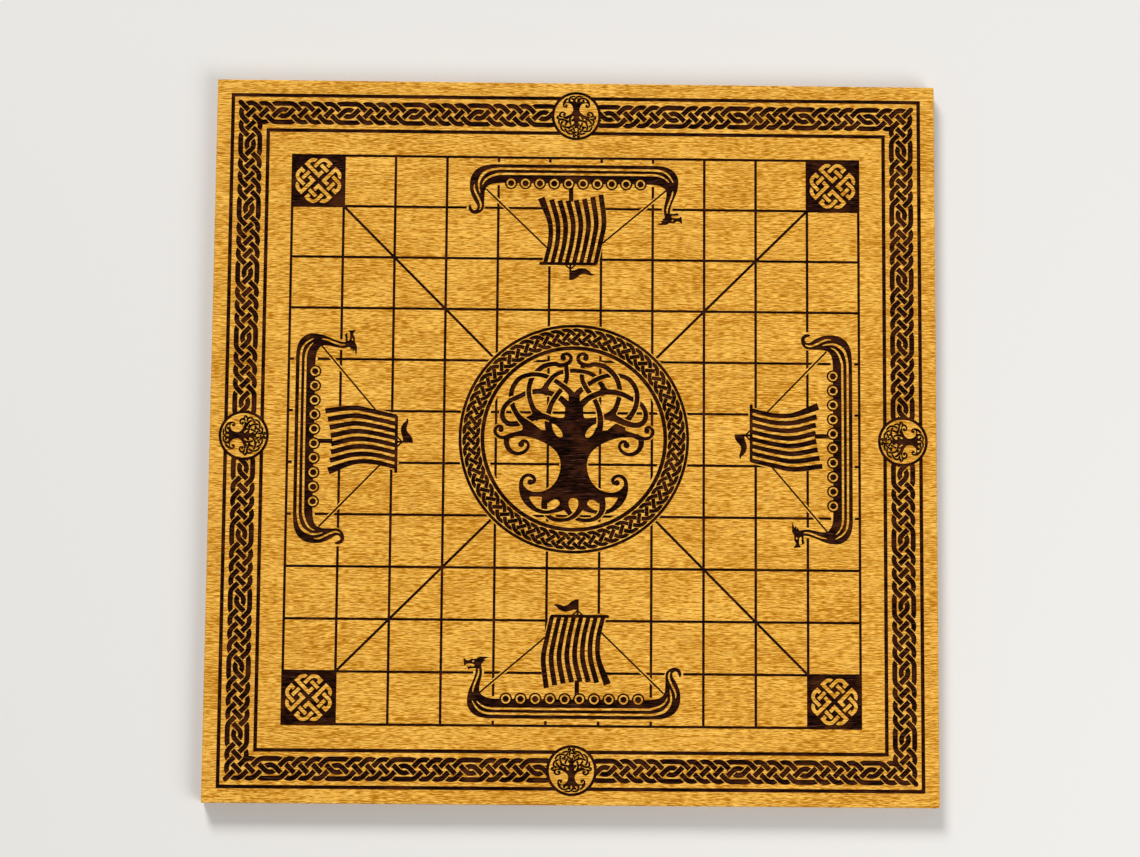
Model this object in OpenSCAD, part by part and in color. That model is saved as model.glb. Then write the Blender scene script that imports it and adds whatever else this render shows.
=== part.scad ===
// Board for hnefatafl, the old northern siege game: a square panel of nine-ply plywood whose
// face veneer is engraved with the playing field, a border, four longships and a tree.
// The board lies flat. The origin is the middle of its underside, and the play side faces up.

/* [Playing field] */
// Squares along each side of the field
cells = 11; // [11:2:13]
// Width of one square, from line to line
cell = 28.6; // [28:0.1:34]
// Width of the field's lines and diagonals
grid_line = 1.15; // [0.6:0.05:1.6]

/* [Border] */
// From the field's outer line to the border's inner line
field_margin = 14.1; // [10:0.1:20]
// From the border's inner line to its outer line
border_width = 19.8; // [16:0.1:26]
// From the border's outer line to the edge of the board
edge_margin = 8.8; // [8:0.1:20]
// Width of the border's two lines
border_line = 1.5; // [0.8:0.1:2.5]
// Outer diameter of the medallion in the middle of each side
medallion_d = 27; // [24:0.5:30]
// Width of a medallion's ring
medallion_line = 1.2; // [0.6:0.1:2]

/* [Corner knots] */
// Width of a raised strand
knot_strand = 1.9; // [1.2:0.1:2.4]
// Bare floor between a strand and the one that passes over it
knot_gap = 0.9; // [0.4:0.1:1.2]
// Bare floor between a knot's four loops
knot_cross = 2.3; // [1:0.1:3]
// From the centre line of a loop's straight side to that of the strand woven through it
knot_weave = 5.1; // [4.6:0.1:5.6]
// From the woven strand's centre line to that of the loop's far side
knot_rise = 4; // [3.4:0.1:4.6]
// Radius of a loop's round corner, on its centre line
knot_round = 3.2; // [2:0.1:3.3]

/* [Centre ring] */
// Outer diameter of the ring
ring_d = 126.8; // [110:0.2:134]
// Width of the ring's outer line
ring_line = 1.1; // [0.6:0.1:2]
// From the outer line's outer edge to the inner line's inner edge
ring_width = 13.7; // [10:0.1:18]
// Width of the ring's inner line
ring_inner_line = 1.7; // [0.8:0.1:2.5]
// Bare wood between the tree's curls and the ring
tree_gap = 1.9; // [1:0.1:6]
// Bare wood between a strand of the tree and the one that passes over it
weave_gap = 0.7; // [0.4:0.1:1]

/* [Longships] */
// Length of a longship from stem to stern
ship_length = 119; // [100:1:122]
// From the field's outer line to a longship's keel
ship_inset = 3.7; // [2.5:0.1:8]
// Shields along a longship's side
shields = 10; // [8:1:10]
// Stripes in a longship's sail
stripes = 8; // [6:1:8]

/* [Engraving] */
// Depth of the engraving below the face
engraving = 0.7; // [0.3:0.1:1]
// Bare wood between a figure and a line that stops short of it
halo = 1.1; // [0.6:0.1:1.4]

/* [Panel] */
// Thickness of the face veneer and of the back veneer
outer_ply = 1.45; // [1.3:0.05:2.5]
// Thickness of each of the seven inner plies
inner_ply = 1.3; // [0.8:0.1:2.2]
// Rounding of the panel's long edges, above and below
eased_edge = 0.6; // [0.2:0.1:1.2]

/* [Hidden] */
$fn = 64;
field_half = cells * cell / 2;
inner_half = field_half + field_margin;
outer_half = inner_half + border_width;
side = 2 * (outer_half + edge_margin);
band_half = (inner_half + outer_half) / 2;
inner_plies = 7;
thickness = 2 * outer_ply + inner_plies * inner_ply;
face_low = thickness - outer_ply;
floor_z = thickness - engraving;
ring_r = ring_d / 2;
ring_hole_r = ring_r - ring_width;
// The drawn tree reaches this far from its middle, and the drawn ship is this long
tree_reach = 47.8;
drawn_ship = 119;
tree_scale = (ring_hole_r - tree_gap) / tree_reach;
ship_scale = ship_length / drawn_ship;
// Cuts run on past the face by this much, so that they open it cleanly
past = 0.5;
// Straight pieces that stand for each stretch of a drawn curve
curve_steps = 2;
knot_steps = 4;
light_wood = "#d9a33c";
cross_wood = "#b98742";

// Drawing: a stroke is a list of [x, y, width] points that a smooth curve runs through

function span(a, b) = norm([b[0] - a[0], b[1] - a[1]]);

// Direction of the curve at a point, from the points before and after it
function heading(points, i) =
    let (
        before = points[max(i - 1, 0)],
        after = points[min(i + 1, len(points) - 1)]
    )
    (after - before) / (span(before, points[i]) + span(points[i], after));

function on_curve(points, i, t) =
    let (
        a = points[i],
        b = points[i + 1],
        long = span(a, b),
        rest = 1 - t
    )
    a * rest * rest * (1 + 2 * t) + b * t * t * (3 - 2 * t)
        + long * t * rest * (heading(points, i) * rest - heading(points, i + 1) * t);

function flow(points) =
    let (last = len(points) - 1)
    concat(
        [for (i = [0:last - 1], j = [0:curve_steps - 1]) on_curve(points, i, j / curve_steps)],
        [points[last]]
    );

function edge(path, way) =
    let (last = len(path) - 1)
    [for (i = [0:last])
        let (
            ahead = path[min(i + 1, last)] - path[max(i - 1, 0)],
            along = [ahead[0], ahead[1]] / norm([ahead[0], ahead[1]]),
            half = path[i][2] / 2
        )
        [path[i][0] - way * along[1] * half, path[i][1] + way * along[0] * half]];

function backwards(list) = [for (i = [len(list) - 1:-1:0]) list[i]];

function arc(middle, radius, from, to, steps) =
    [for (i = [0:steps])
        let (a = from + (to - from) * i / steps)
        middle + radius * [cos(a), sin(a)]];

module ribbon(path) {
    polygon(concat(edge(path, 1), backwards(edge(path, -1))));
}

module stroke(points) {
    ribbon(flow(points));
}

module both_sides() {
    children();
    mirror([1, 0]) children();
}

module around() {
    for (turn = [0:90:270])
        rotate(turn) children();
}

// Tree of life, drawn about the ring's middle. The strands of its right half, as stroke points
riser = [[11.5, -1, 4.4], [13.9, 4.5, 3.4], [14.5, 11, 3], [12.7, 18.6, 2.5], [9.6, 24, 2.5],
    [6.2, 28.6, 2.4], [4.2, 33.6, 2.3], [4.6, 40.6, 2.3]];
loop = [[0, 9.4, 4.6], [6.4, 9.8, 3.2], [12, 10.6, 2.6], [17, 12.2, 3.2], [22, 11.6, 3.6], [29, 8.6, 3],
    [35.6, 7.8, 2.8], [39.2, 11, 2.6], [38.9, 16.2, 2.4], [35.4, 20.6, 2.3], [31.6, 22.4, 2.4],
    [25.4, 25.2, 2.6], [17, 26, 3], [8.4, 22.8, 3], [2.6, 17.6, 3.8]];
outer_arch = [[19, 3, 3.6], [23, 5.6, 4.6], [26.4, 8, 4.4], [30.4, 11.8, 2.9], [34, 18.4, 2.6],
    [34.4, 26.4, 2.5], [30.4, 33, 2.4], [24.6, 35.2, 2.3], [18.6, 35.2, 2.3], [12.6, 33.2, 2.4],
    [7, 29.6, 2.5], [2.6, 26, 3], [-1, 21, 4]];
top_arch = [[18.6, 11, 5], [22.6, 16.6, 2.8], [24.8, 23.4, 2.5], [24.9, 28.4, 2.5], [22.8, 34.4, 2.6],
    [17, 40, 2.6], [11, 41.4, 2.4], [8, 40.7, 2.3], [5, 41.2, 2.1], [2.7, 42.6, 2.1],
    [1.9, 44.6, 1.9], [2.6, 46.3, 1.8], [4.4, 47.1, 1.7], [6.4, 46.5, 1.8], [6.7, 45, 2.4]];
centre_arch = [[17.4, 24.6, 5], [15.8, 28.4, 2.6], [13.6, 32, 2.5], [10.6, 35.2, 2.2], [5.6, 37.2, 2.1],
    [0, 37.8, 2.1]];
crescent = [[28.8, -25.2, 2.2], [28.5, -28, 2.8], [27.3, -31.4, 3.8], [25.4, -34.8, 3.7], [23, -37.6, 2.9],
    [19.8, -39.8, 2.2], [15.4, -40.8, 1.9], [11, -40.2, 2], [8, -39, 3], [5.2, -37.2, 4.4]];
twist = [[15.4, -32, 3.4], [16, -36.4, 3.3], [15.7, -39.4, 3], [14.2, -42.3, 2.5], [11.4, -44.3, 2.2],
    [7.4, -45.1, 2], [3, -44.6, 1.9], [-0.6, -42.6, 2.4], [-2.8, -40, 2.8], [-4.6, -36.8, 3.8],
    [-4.8, -33, 5]];
strands = [riser, loop, outer_arch, top_arch, centre_arch, crescent, twist];
// Where two strands cross: the one above, the one below and the place
crossings = [
    [riser, loop, [14.6, 11.2]], [loop, riser, [10.6, 23.4]], [riser, outer_arch, [6.6, 28.9]],
    [centre_arch, riser, [4.2, 37.2]], [outer_arch, centre_arch, [12.8, 33.2]],
    [loop, top_arch, [24.9, 25.4]],
    [top_arch, outer_arch, [22.4, 35.4]], [outer_arch, loop, [34.7, 21]], [loop, outer_arch, [28.8, 9]],
    [twist, crescent, [15.2, -40.8]]
];
foot_crossing = [0, -43.1];
// A strand stays clear of the one below it over this much of its length to each side of a crossing
weave_reach = 6;
trunk_top = [[0, 25.7], [1.7, 26.2], [3.1, 24.2], [3.2, 20.4], [5, 18.1], [5.1, 13.6], [5.5, 11.9],
    [6.5, 11.3], [9, 11.3], [12, 11.7], [13.8, 10.5], [14, 4], [10, 0]];
trunk_side = [[9.6, -7.6], [8.2, -10], [7.4, -13], [7.3, -16], [8, -19.5], [9.2, -22.5], [11, -25.3],
    [13.5, -27.6], [16.5, -29], [20, -29.6], [23, -29.3], [25.4, -28.2], [27, -26.6], [28.2, -25]];
trunk_foot = [[28.6, -29], [26.4, -33.2], [24.1, -32.7], [23.4, -32.2], [20, -32.3], [17.4, -32.5],
    [16.6, -32.5], [15.6, -34.6], [13.6, -35.9], [12.5, -34.7], [10.5, -33.8], [8.8, -33.9],
    [7.6, -35.2], [7.7, -36.6], [9, -38.1], [8, -39], [5, -38.6], [2.9, -38.2], [3.1, -36.5],
    [2.8, -34.6], [1.6, -33.2], [0, -32.8]];
bough = [[12, 4.4], [16.2, 4.6], [17.6, 4.6], [19, 5.1], [21, 6.3], [24, 6], [27.6, 5.6], [28.2, 5.1],
    [28.9, 4.5], [30.2, 4], [32, 3.6], [33.6, 3.1], [35.2, 2.4], [36.8, 1.6], [38.4, 1.1],
    [38.4, -0.5], [35.4, -0.4], [34, 0.4], [32, 0.85], [29.5, 0.95], [26.5, 0.75], [23.5, 0.3],
    [21, -0.5], [18, -1.7], [15, -3.2], [12, -5.2], [9.6, -7.6], [8.2, -10], [4, -10], [4, 2]];
teardrop = [[6.2, 2.2], [6.5, 0.9], [7.7, 0.5], [9.4, 1.5], [11, 3.6], [11.9, 6], [12.2, 8.3], [10.5, 7.7],
    [8.4, 5.9], [6.9, 4]];
// Fillets where a strand leaves another
webs = [
    [[11.6, 25.4], [13.4, 26.4], [14.3, 27.6], [14.6, 29.2], [14.2, 31], [16.4, 31], [17, 29.4],
     [18, 28], [19.4, 27.2], [21, 27.1], [17, 25]],
    [[17, 11], [16.9, 13.9], [18.6, 14.8], [20.4, 16.2], [22, 18], [23, 20.4], [25, 20.4],
     [24.4, 18.4], [23.4, 16.6], [22.9, 14.8], [23.2, 13.6], [24.4, 12.2], [22, 11]],
    [[29.2, 8], [28.4, 6.6], [28.2, 5.6], [28.4, 4.8], [26, 4], [24, 6], [27, 8.4]]
];
// The dot that the top arch ends in
top_dot = [6.2, 44.7];
top_dot_r = 1.6;
// Curls, and the radius of the dot that each one ends in
curls = [
    [[[34, 1.6, 3], [36.6, 0.6, 2.4], [39.2, 0.2, 1.8], [41.6, 0.9, 1.7], [43.3, 2.9, 1.8],
     [43.2, 5.2, 1.8], [41.4, 6.6, 1.7], [39.7, 6, 1.8], [40.1, 4.6, 2.4]], 1.5],
    [[[36.6, 1, 3], [37.1, -2.4, 2.9], [36, -5.7, 2.5], [33.7, -7.8, 2.2], [30.5, -8.6, 1.9],
     [27.3, -7.6, 1.8], [25.3, -5.3, 1.6], [25.1, -3.2, 1.5], [26.4, -1.7, 1.7],
     [28.2, -1.7, 2], [29, -3.4, 2.6]], 1.75],
    [[[28.6, -27, 2.4], [28.8, -24.9, 2.1], [28.3, -22.8, 1.9], [26.9, -21.1, 1.8],
     [25, -20.4, 1.7], [22.9, -20.9, 1.8], [21.5, -22.6, 1.9], [22, -24.2, 2.1],
     [23.8, -24.3, 2.6]], 1.6]
];

module gap_round(strand, spot) {
    ribbon([for (p = flow(strand)) if (span(p, spot) < weave_reach) p + [0, 0, 2 * weave_gap]]);
}

// The left half weaves the other way, so what passes above on the right passes below there
module strands_of_half(left) {
    for (strand = strands)
        difference() {
            stroke(strand);
            for (c = crossings)
                if ((left ? c[0] : c[1]) == strand) gap_round(left ? c[1] : c[0], c[2]);
        }
    for (c = curls) {
        stroke(c[0]);
        last = c[0][len(c[0]) - 1];
        translate([last[0], last[1]]) circle(c[1], $fn = 16);
    }
    translate(top_dot) circle(top_dot_r, $fn = 16);
}

module trunk_half(left) {
    difference() {
        union() {
            polygon(bough);
            polygon(concat(trunk_top, flow(trunk_side), trunk_foot));
        }
        polygon(teardrop);
        if (!left) gap_round(riser, crossings[0][2]);
    }
    difference() {
        for (web = webs) polygon(web);
        if (!left) gap_round(loop, crossings[8][2]);
    }
}

module tree() {
    difference() {
        union() {
            trunk_half(false);
            strands_of_half(false);
            mirror([1, 0]) trunk_half(true);
        }
        mirror([1, 0]) gap_round(twist, foot_crossing);
    }
    mirror([1, 0]) strands_of_half(true);
}

// Bare ground round the tree, where no field line shows
module tree_ground(clear) {
    both_sides() {
        translate([20, 20]) circle(21 + clear);
        translate([30.4, -4]) circle(6 + clear);
        translate([25, -24]) circle(5 + clear);
        translate([14.5, -33]) circle(13 + clear);
        translate([41, 4]) circle(3 + clear);
    }
    translate([0, 22]) circle(25.6 + clear);
    square([2 * (7 + clear), 70], center = true);
    translate([0, -42]) square([18, 7 + clear], center = true);
}

// Longship, drawn upright with its keel on the line y = 0

shield_pitch = 8;
shield_r = 3.4;
shield_rim = 0.7;
boss_r = 1.65;
gunwale_y = 10.8;
mast_x = 2.6;
mast_w = 2.5;
// The sail's stripes, from the yard down: first x, last x, height and width
sail_rows = [[-11.2, 16.7, 55.8, 1.9], [-13.9, 14, 43.6, 2.1], [-15.8, 14.2, 33, 2.25],
    [-14, 18, 18.4, 2.4]];
// The last stripe widens by this much at its foot
stripe_flare = 1.2;
// Arch of the sail's foot: its rise, how fast it falls away, and where it is highest
foot_arch = [1.9, 7, 0.52];
// Top of the mast below the sail
mast_top = 21;
masthead = [2.7, 59.2];
// Feet of the two braces that hold the masthead on the yard
brace_feet = [-0.2, 5.6];
brace_w = 0.9;
yard_ends = [-11.2, 19.2];
yard_y = 56;
yard_w = 1.7;
stay_w = 0.95;
// Each stay runs from the hull to the sail's edge
stay_lines = [[[-50.2, 14.2], [-15, 44.3]], [[49.9, 14.2], [15.2, 47.6]]];
eye = [-54.1, 31];
eye_r = 0.35;
stem = [[-52.7, 27.2], [-52.8, 24.6], [-53.6, 21.6], [-55, 17.6], [-56.2, 14.6], [-56.9, 11.1],
    [-56.9, 8.6], [-56, 5.6], [-54, 3], [-51, 1.2], [-47, 0.3], [-42, 0]];
stern = [[42, 0.1], [46, 0.7], [50, 2], [54, 4.6], [57, 8.1], [58.3, 11.6], [58.4, 14.6], [57.6, 17.6],
    [56.3, 20.6], [55, 23.2], [54.6, 24.8], [55, 26.2], [56, 26.8], [57.2, 26.6], [58, 25.6],
    [58.2, 24.1], [58.8, 23]];
stern_back = [[59.4, 24.2], [59.4, 25.8], [58.7, 27.2], [57.4, 28.2], [56, 28.5], [54, 28.1], [52.4, 26.8],
    [51.5, 24.8], [51.2, 22.6], [51, 19.6], [50.7, 16.6], [50.2, 14.1], [48.5, 12.6], [46, 11.4],
    [43, 10.7], [40, 10.5]];
stem_back = [[-40, 10.5], [-43, 10.7], [-46, 11.4], [-48.5, 12.6], [-50.2, 14.1], [-50.4, 16.6],
    [-50, 19.6],
    [-49.4, 23.6], [-49.2, 26.6], [-49.4, 28.4]];
dragon_head = [[-49.6, 30.2], [-48.3, 30.3], [-49, 30.9], [-47.2, 31], [-48.4, 31.7], [-46.8, 32],
    [-47.6, 32.5],
    [-45.3, 33.5], [-48, 33.6], [-50.5, 33.5], [-52.2, 33.2], [-52.8, 32.5], [-53.8, 32.2],
    [-55.2, 32.4], [-56.4, 32.1], [-57.8, 32], [-58.6, 32.6], [-59.4, 32.4], [-59, 31],
    [-59.2, 30.2], [-58.2, 30], [-57.6, 29.4], [-57.2, 29.8], [-56, 29.6], [-55, 29.3],
    [-53.8, 28.6], [-54.6, 28.3], [-56, 28.4], [-57.5, 28.3], [-57.9, 28], [-57, 27.5],
    [-56.9, 26.7], [-55.8, 27.1], [-54.4, 27], [-53, 27.2]];
pennant = [[3.3, 65], [1, 64.8], [-0.8, 63.8], [-2.4, 62.3], [-3.8, 61.5], [-5.2, 61.4], [-6.6, 61.9],
    [-8, 62.4], [-9, 62.3], [-9.9, 61.8], [-8.6, 61.3], [-7.4, 60], [-5.8, 59.1], [-3.8, 58.8],
    [-1.6, 59.3], [0.4, 60], [2.1, 59.9], [2.1, 56], [3.3, 56]];
// Bare lines between the strakes and up the stem and the stern, as stroke points
bare_lines = [
    [[-51.3, 27, 0.5], [-51.2, 24.6, 0.8], [-52, 21.6, 0.9], [-53.2, 18.6, 0.9], [-54, 15.6, 0.7],
     [-54, 14.2, 0.3]],
    [[-54.3, 9.5, 0.3], [-53.4, 7.6, 0.9], [-51.7, 5.3, 1.1], [-49.2, 3.6, 1.2], [-46, 2.8, 1.3],
     [-42, 2.6, 1.4], [42, 2.9, 1.4], [45.5, 3.5, 1.4], [49.5, 5.1, 1.4], [52.4, 7.7, 1.3],
     [53.6, 10.6, 1.2], [53.6, 13.1, 1], [52.9, 16.4, 0.3]],
    [[-51.8, 9.3, 0.3], [-50.5, 7.6, 0.9], [-48.4, 6.2, 1.2], [-45.4, 5.5, 1.4], [-42, 5.4, 1.5],
     [42, 5.7, 1.4], [45, 6.4, 1.4], [48.4, 8, 1.2], [50.8, 10.2, 0.9], [52, 12.4, 0.3]],
    [[53.4, 25.8, 0.4], [52.7, 24, 0.9], [53.3, 21.1, 1], [54.8, 18.1, 1], [56, 15.1, 1],
     [56.6, 11.8, 0.7], [56.4, 11, 0.3]]
];
// Bare ground beside the hull, the stem, the stern and the mast
hull_grounds = [
    [[-55.4, 14], [-53.8, 24.6], [-54, 34], [-48, 34], [-48, 24], [-49, 14]],
    [[49.8, 14], [50.1, 24], [52, 29], [57, 29.8], [60.5, 27], [60.5, 22], [58.8, 12]],
    [[-53, -1], [55, -1], [55, 12], [-53, 12]],
    [[-20, 12], [22, 12], [20, 22], [-18, 22]]
];

function between(range, t) = range[0] + (range[1] - range[0]) * t;

// The sail's foot is cut in an arch, higher in its middle than at its corners
function stripe_points(t) = [for (row = sail_rows)
    let (foot = row == sail_rows[3])
    [between(row, t),
     row[2] + (foot ? foot_arch[0] - foot_arch[1] * pow(t - foot_arch[2], 2) : 0),
     row[3] + (foot && t == 1 ? stripe_flare : 0)]];

module hull() {
    difference() {
        polygon(concat(stem, stern, stern_back, stem_back, dragon_head));
        for (line = bare_lines) ribbon(line);
        translate(eye) circle(eye_r, $fn = 8);
    }
}

module shield_places() {
    for (i = [0:shields - 1])
        translate([(i - (shields - 1) / 2) * shield_pitch, gunwale_y]) children();
}

module bar(from, to, width) {
    ribbon([[from[0], from[1], width], [to[0], to[1], width]]);
}

module stays(width) {
    for (line = stay_lines) bar(line[0], line[1], width);
}

module yard(clear) {
    bar([yard_ends[0] - clear, yard_y], [yard_ends[1] + clear, yard_y], yard_w + 2 * clear);
}

module rigging() {
    yard(0);
    for (end = yard_ends) translate([end, yard_y]) circle(yard_w / 2, $fn = 12);
    bar([mast_x, gunwale_y], [mast_x, mast_top], mast_w);
    polygon(pennant);
    for (foot = brace_feet) bar(masthead, [foot, yard_y], brace_w);
    stays(stay_w);
    for (i = [0:stripes - 1])
        stroke(stripe_points(i / (stripes - 1)));
}

module longship() {
    scale(ship_scale) {
        difference() {
            union() {
                hull();
                shield_places() circle(shield_r, $fn = 32);
                rigging();
            }
            shield_places() circle(shield_r - shield_rim, $fn = 32);
        }
        shield_places() circle(boss_r, $fn = 24);
    }
}

// Bare ground round a longship, where no field line shows
module ship_ground(clear) {
    first = flow(stripe_points(0));
    last = flow(stripe_points(1));
    reach = sail_rows[3][3] / 2 + clear;
    for (ground = hull_grounds) polygon(ground);
    polygon(concat(
        [for (p = last) [p[0] + reach, p[1]]],
        backwards([for (p = first) [p[0] - reach, p[1]]])
    ));
    yard(clear);
    stays(stay_w + 2 * clear);
}

module longships() {
    around() translate([0, ship_inset - field_half]) longship();
}

module ship_grounds() {
    around() translate([0, ship_inset - field_half]) scale(ship_scale) ship_ground(halo / ship_scale);
}

// Corner knot: one loop of four, in lanes that run along the diagonals of the square

module knot_loop() {
    half = knot_strand / 2;
    near = knot_cross / 2 + half;
    woven = near + knot_weave;
    far = woven + knot_rise;
    clear = half + knot_gap;
    bend = knot_round;
    // Where the loop's first strand comes out from under the woven one, on its round corner
    lift = max(0, clear - knot_rise + bend);
    straight = clear < knot_rise - bend;
    rotate(45) {
        polygon(concat(
            straight ? [[woven + half, woven + clear]] : [],
            arc([woven - bend, far - bend], bend + half, asin(lift / (bend + half)), 90, knot_steps),
            [[near - half, far + half], [near - half, near - half], [woven - clear, near - half],
             [woven - clear, near + half], [near + half, near + half], [near + half, far - half]],
            arc([woven - bend, far - bend], bend - half, 90, asin(lift / (bend - half)), knot_steps),
            straight ? [[woven - half, woven + clear]] : []
        ));
        polygon(concat(
            [[near + clear, woven + half]],
            arc([far - bend, woven - bend], bend + half, 90, 0, knot_steps),
            [[far + half, near - half], [woven + clear, near - half], [woven + clear, near + half],
             [far - half, near + half]],
            arc([far - bend, woven - bend], bend - half, 0, 90, knot_steps),
            [[near + clear, woven - half]]
        ));
        polygon([[woven - half, near - half - knot_cross / 2], [woven + half, near - half - knot_cross / 2],
                 [woven + half, woven - clear], [woven - half, woven - clear]]);
    }
}

module corner_square() {
    difference() {
        square(cell + grid_line, center = true);
        around() knot_loop();
    }
}

// Field lines, which stop short of the ring, the tree and the longships

module field_lines() {
    long = 2 * field_half + grid_line;
    for (i = [0:cells]) {
        translate([-field_half + i * cell, 0]) square([grid_line, long], center = true);
        translate([0, -field_half + i * cell]) square([long, grid_line], center = true);
    }
}

module field() {
    inner_corner = (field_half - cell) * sqrt(2);
    difference() {
        field_lines();
        difference() {
            circle(ring_r + halo);
            circle(ring_hole_r - halo);
        }
        scale(tree_scale) tree_ground(halo / tree_scale);
        ship_grounds();
    }
    around() rotate(45) translate([ring_r + halo, -grid_line / 2])
        square([inner_corner - ring_r - halo, grid_line]);
}

module ring(outer, width) {
    difference() {
        circle(outer);
        circle(outer - width);
    }
}

module centre_ring() {
    ring(ring_r, ring_line);
    ring(ring_hole_r + ring_inner_line, ring_inner_line);
}

// Border: two square lines, broken by a ringed medallion in the middle of each side

module square_line(half, width) {
    difference() {
        square(2 * half + width, center = true);
        square(2 * half - width, center = true);
    }
}

module border() {
    difference() {
        union() {
            square_line(inner_half, border_line);
            square_line(outer_half, border_line);
        }
        around() translate([0, band_half]) circle((medallion_d - medallion_line) / 2);
    }
    around() translate([0, band_half]) ring(medallion_d / 2, medallion_line);
}

// Panel

module engraved() {
    translate([0, 0, floor_z]) linear_extrude(engraving + past) children();
}

module edge_easing() {
    around()
        translate([0, side / 2 - eased_edge, -eased_edge])
        rotate([90, 0, 90])
        linear_extrude(side + 2 * past, center = true)
        difference() {
            square(eased_edge + past);
            circle(eased_edge);
        }
}

module face_veneer() {
    corner = field_half - cell / 2;
    color(light_wood)
    difference() {
        translate([-side / 2, -side / 2, face_low]) cube([side, side, outer_ply]);
        translate([0, 0, thickness]) edge_easing();
        engraved() {
            border();
            field();
            around() translate([corner, corner]) corner_square();
            centre_ring();
            scale(tree_scale) tree();
            longships();
        }
    }
}

module inner_ply_at(place, wood) {
    color(wood)
    translate([-side / 2, -side / 2, outer_ply + place * inner_ply]) cube([side, side, inner_ply]);
}

module back_veneer() {
    color(light_wood)
    difference() {
        translate([-side / 2, -side / 2, 0]) cube([side, side, outer_ply]);
        mirror([0, 0, 1]) edge_easing();
    }
}

module upper_crossband() { inner_ply_at(6, cross_wood); }
module upper_long_ply() { inner_ply_at(5, light_wood); }
module upper_core_crossband() { inner_ply_at(4, cross_wood); }
module core_ply() { inner_ply_at(3, light_wood); }
module lower_core_crossband() { inner_ply_at(2, cross_wood); }
module lower_long_ply() { inner_ply_at(1, light_wood); }
module lower_crossband() { inner_ply_at(0, cross_wood); }

face_veneer();
upper_crossband();
upper_long_ply();
upper_core_crossband();
core_ply();
lower_core_crossband();
lower_long_ply();
lower_crossband();
back_veneer();
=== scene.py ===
import math
from dataclasses import dataclass, replace

import bpy
import numpy as np
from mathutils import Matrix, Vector
from mathutils.geometry import delaunay_2d_cdt


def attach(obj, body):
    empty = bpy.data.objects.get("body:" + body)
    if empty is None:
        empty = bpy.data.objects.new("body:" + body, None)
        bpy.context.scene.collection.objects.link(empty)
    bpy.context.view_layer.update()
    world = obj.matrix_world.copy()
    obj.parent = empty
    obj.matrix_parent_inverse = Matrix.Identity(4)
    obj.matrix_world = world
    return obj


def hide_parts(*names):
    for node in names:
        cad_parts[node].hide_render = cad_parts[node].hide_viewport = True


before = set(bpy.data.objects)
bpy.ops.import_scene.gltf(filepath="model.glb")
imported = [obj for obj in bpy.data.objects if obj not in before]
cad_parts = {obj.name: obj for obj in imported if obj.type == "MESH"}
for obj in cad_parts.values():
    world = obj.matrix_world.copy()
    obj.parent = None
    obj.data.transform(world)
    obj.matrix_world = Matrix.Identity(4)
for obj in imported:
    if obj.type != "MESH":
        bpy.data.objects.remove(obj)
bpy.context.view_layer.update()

print("frame loaded:", ", ".join(sorted(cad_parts)))

mm = 0.001
tiny = 1e-4  # millimetres; points nearer than this count as one
placeDigits = 4  # of a place in millimetres
turnDigits = 9
rootTwo = math.sqrt(2)
quarterTurns = range(0, 360, 90)

panel = {  # millimetres, the same sizes as the solids
    "side": 400.0,
    "thickness": 12.0,
    "faceVeneer": 1.45,
    "innerPly": 1.3,
    "easedEdge": 0.6,
    "easeSteps": 5,
}

# Drawing: every outline is a small closed polygon in millimetres on the board's face.
# A groove yields to the zones it names, and a zone by itself stays bare.
outlines = []
curvePieces = {"fewest": 2, "most": 9}  # between two points of a curve
dotCorners = 16


def addOutline(points, yields=(), zone=None):
    spots = [(float(x), float(y)) for x, y in points]
    outlines.append({"points": spots, "yields": frozenset(yields), "zone": zone})


def gapBetween(a, b):
    return math.hypot(b[0] - a[0], b[1] - a[1])


def smoothPath(points, step):  # curve through [x, y, width] points
    marks = np.array(points, float)
    last = len(marks) - 1
    heading = []
    for i in range(last + 1):
        before, after = marks[max(i - 1, 0)], marks[min(i + 1, last)]
        heading.append((after - before) / (gapBetween(before, marks[i]) + gapBetween(marks[i], after)))
    path = []
    for i in range(last):
        a, b = marks[i], marks[i + 1]
        length = gapBetween(a, b)
        pieces = int(min(curvePieces["most"], max(curvePieces["fewest"], math.ceil(length / step))))
        for j in range(pieces):
            t = j / pieces
            rest = 1 - t
            path.append(a * rest * rest * (1 + 2 * t) + b * t * t * (3 - 2 * t)
                        + length * t * rest * (heading[i] * rest - heading[i + 1] * t))
    path.append(marks[last])
    return np.array(path)


def pathSides(path, grow):
    ahead = np.gradient(path[:, :2], axis=0)
    ahead /= np.linalg.norm(ahead, axis=1)[:, None]
    across = np.stack([-ahead[:, 1], ahead[:, 0]], axis=1) * (path[:, 2:3] / 2 + grow)
    middle = path[:, :2].copy()
    middle[0] -= ahead[0] * grow
    middle[-1] += ahead[-1] * grow
    return middle + across, middle - across


def disc(middle, radius, corners):
    turn = np.arange(corners) * 2 * math.pi / corners
    return np.stack([middle[0] + radius * np.cos(turn), middle[1] + radius * np.sin(turn)], axis=1)


def arcPoints(middle, radius, first, last, steps):  # angles in degrees
    out = []
    for i in range(steps + 1):
        a = math.radians(first + (last - first) * i / steps)
        out.append((middle[0] + radius * math.cos(a), middle[1] + radius * math.sin(a)))
    return out


def boxCorners(left, low, right, high):
    return [(left, low), (right, low), (right, high), (left, high)]


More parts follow.
